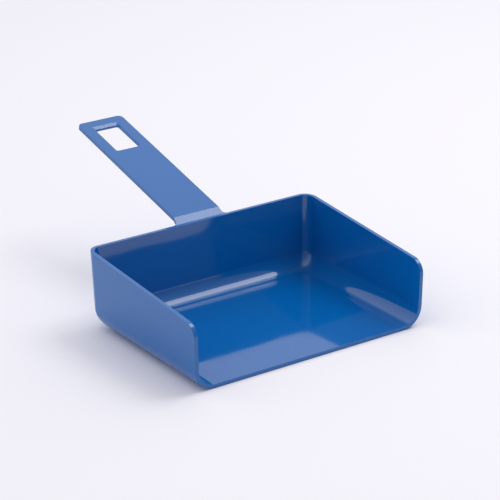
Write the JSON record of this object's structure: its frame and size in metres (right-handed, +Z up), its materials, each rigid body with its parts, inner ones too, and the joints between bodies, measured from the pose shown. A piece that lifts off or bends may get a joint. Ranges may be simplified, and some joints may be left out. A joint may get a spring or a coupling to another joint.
{
  "type": "feed scoop",
  "caption": "Shallow square pan, open at the top and front, with a flat strap handle that rises behind it and has a hanging slot.",
  "frame": {"origin": "on the flat underside of the pan, half way between the lip and the back wall, on the centre line", "axes": "+Z up; -Y towards the pouring lip, +Y towards the handle; +X across the pan"},
  "size_m": [0.2028, 0.2856, 0.1003],
  "materials": {
    "blue_moulding": "glossy blue injection moulding",
    "blue_pin": "glossy blue moulded pin, tail closed by heat"
  },
  "bodies": {
    "root": {"pan": "blue_moulding", "handle": "blue_moulding", "handle_pin_1": "blue_pin", "handle_pin_2": "blue_pin", "handle_pin_3": "blue_pin", "handle_pin_4": "blue_pin"}
  },
  "joints": []
}
